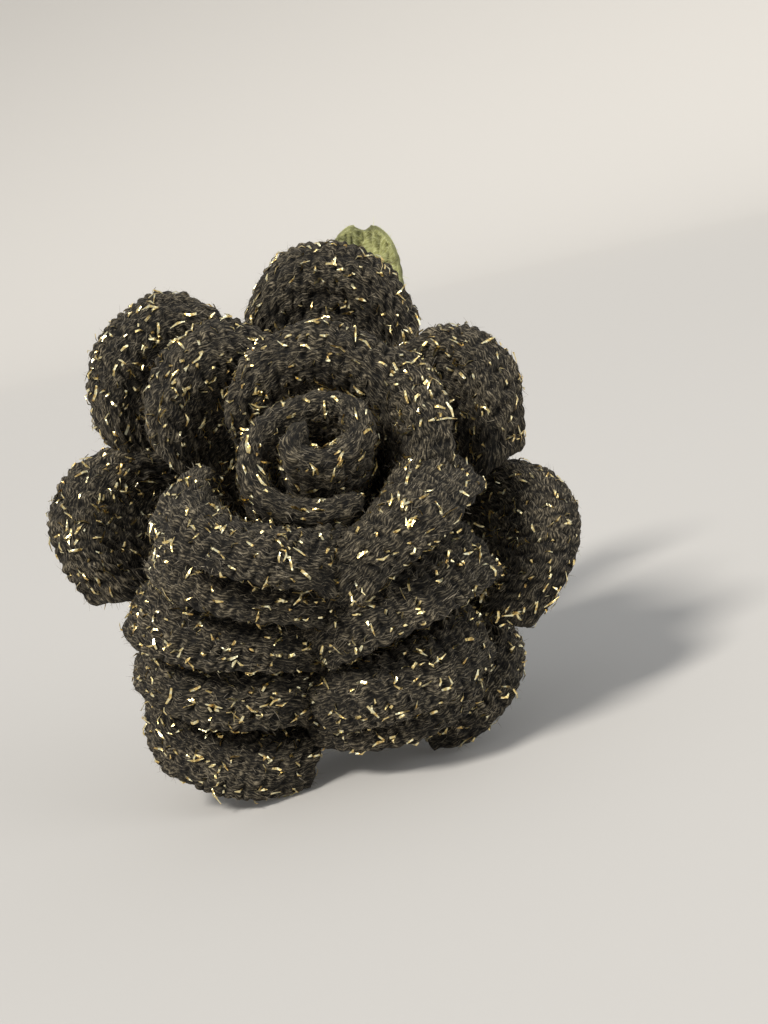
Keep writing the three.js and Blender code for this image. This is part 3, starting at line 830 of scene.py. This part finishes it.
def make_calyx():
    """The hip that carries the petals, the green cup under it and its sepals."""
    hip = [(HIP["rim_radius"], HIP["rim_height"]), (HIP_TOP_RADIUS, HIP["top"]), (BORE, HIP["top"])]
    points, u, v = profile_grid(hip, 121, 36)
    dress(skin("hip_cloth", points, u, v, 50, BLACK)[0], "black_yarn", "calyx")
    cup = [(BORE, HIP["neck"]), (HIP["neck_radius"], HIP["neck"]), (HIP["waist_radius"], HIP["waist_height"]),
           (HIP["rim_radius"], HIP["rim_height"])]
    points, u, v = profile_grid(cup, 141, 48)
    obj, grids = skin("cup_cloth", points, u, v, 51, GREEN)
    dress(obj, "green_yarn", "calyx")
    thread_over("cup", grids, 151, "green_yarn", GREEN_FIBRE, gold=False)
    for number in range(SEPAL["count"]):
        name = f"sepal_{number + 1}"
        points, u, v = sepal_grid(SEPAL["azimuth"] + number * 360 / SEPAL["count"], 27, 54)
        obj, grids = cloth(f"{name}_cloth", points, u, v, SEPAL["thickness"] - LOOP_ROOM, 52 + number, GREEN,
                           wave=0.3, scallop=0.5)
        dress(obj, "green_yarn", "calyx")
        thread_over(name, grids, 152 + number, "green_yarn", GREEN_FIBRE, gold=False)


def make_leaf():
    """The blade, its stalk and the yarn ring that ties it to the stem."""
    points, u, v = leaf_grid(45, 117)
    thickness = LEAF["thickness"] - LOOP_ROOM / 2
    obj, grids = cloth("leaf_cloth", points, u, v, thickness, 60, LEAF_YARN, wave=0.5, scallop=0.35)
    dress(obj, "leaf_yarn", "leaf")
    thread_over("leaf", grids, 160, "leaf_yarn", LEAF_FIBRE, gold=False)
    r = np.linspace(LEAF["ring_radius"] - 0.8, LEAF["blade_from"] + 4, 40)
    stalk = turned(np.stack([r, 0 * r, leaf_rise(r)], -1), LEAF["azimuth"])
    dress(wound("leaf_stalk", stalk, LEAF["stalk"], LEAF_YARN), "leaf_yarn", "leaf")
    turns = 4
    ring_yarn = 0.85
    turn = np.linspace(0, turns * 2 * np.pi, 200)
    across = (STEM_RADIUS + CLEARANCE + LEAF["ring_radius"]) / 2
    middle = HIP["neck"] - LEAF["below"]
    rise = middle + (LEAF["ring"] - 1.5) * (turn / turn[-1] - 0.5)
    coil = np.stack([across * np.cos(turn), across * np.sin(turn), rise], -1)
    dress(wound("leaf_ring", coil, ring_yarn, LEAF_YARN), "leaf_yarn", "leaf")


def make_stem():
    """Yarn wound over the wire, which shows at the cut end."""
    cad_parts["stem_wire"].material_slots[0].material = STEEL
    dress(wound("stem_yarn", stem_path(), STEM_RADIUS, GREEN, in_head=False), "green_yarn", "stem_cover")


make_petals()
make_bud()
make_calyx()
make_leaf()
make_stem()


# Stage, light and camera

# Where the lights point, in metres
LIT_PLACE = (0, -0.06, 0.06)


def make_backdrop():
    """A round floor that turns up into a wall far away on every side, with no line between them.
    Its sizes are in metres."""
    floor = 4.0
    turn_up = 1.5
    profile = [(0.0, 0.0), (floor, 0.0)]
    for k in range(1, 17):
        a = k / 16 * math.pi / 2
        profile.append((floor + turn_up * math.sin(a), turn_up - turn_up * math.cos(a)))
    line = np.array(profile) * 1000
    points = revolved(line[:, :1], line[:, 1:], 97)[0]
    material, tree, shader = new_material("backdrop_paper")
    settings(shader, {"Base Color": (0.52, 0.505, 0.48, 1), "Roughness": 0.9})
    faces = grid_faces(*points.shape[:2])
    mesh_object("backdrop", points.reshape(-1, 3), faces, material)


def make_light(name, kind, at, size, power, colour):
    """A sun's size is the angle that it fills, and an area light's is its side."""
    data = bpy.data.lights.new(name, kind)
    if kind == "SUN":
        data.angle = size
    else:
        data.size = size
    data.energy = power
    data.color = colour
    obj = bpy.data.objects.new(name, data)
    bpy.context.scene.collection.objects.link(obj)
    obj.location = at
    direction = Vector(LIT_PLACE) - Vector(at)
    obj.rotation_euler = direction.to_track_quat("-Z", "Y").to_euler()


def make_world():
    world = bpy.data.worlds.new("studio")
    world.use_nodes = True
    settings(world.node_tree.nodes["Background"], {"Color": (0.95, 0.97, 1.0, 1), "Strength": 0.55})
    bpy.context.scene.world = world


def make_camera():
    """The photograph looks at the flower from just above its own axis, turned a little. The focal
    length is in pixels, and base_at is the pixel where the head's base is."""
    wide, high = 768, 1024
    elevation = 9 * DEG
    roll = 13 * DEG
    focal = 1554
    distance = 395
    base_at = (330, 586)
    back = Vector((0, -math.cos(elevation), math.sin(elevation)))
    level = Vector((1, 0, 0))
    upright = Vector((0, math.sin(elevation), math.cos(elevation)))
    right = level * math.cos(roll) - upright * math.sin(roll)
    up = level * math.sin(roll) + upright * math.cos(roll)
    to_right = (base_at[0] - wide / 2) / focal * distance
    to_top = (high / 2 - base_at[1]) / focal * distance
    aside = right * to_right + up * to_top
    at = (Vector(HEAD_BASE) - aside + back * distance) / 1000
    data = bpy.data.cameras.new("camera")
    data.sensor_width = 36
    data.lens = focal * data.sensor_width / high
    data.clip_start = 0.01
    camera = bpy.data.objects.new("camera", data)
    bpy.context.scene.collection.objects.link(camera)
    camera.matrix_world = Matrix.Translation(at) @ Matrix((right, up, back)).transposed().to_4x4()
    bpy.context.scene.camera = camera


make_backdrop()
make_light("key", "SUN", (-0.5, -0.64, 0.88), 14 * DEG, 3.2, (1.0, 0.96, 0.9))
make_light("fill", "AREA", (0.8, -0.6, 0.35), 0.6, 3, (0.95, 0.97, 1.0))
make_world()
make_camera()
bpy.context.scene.view_settings.view_transform = "Standard"
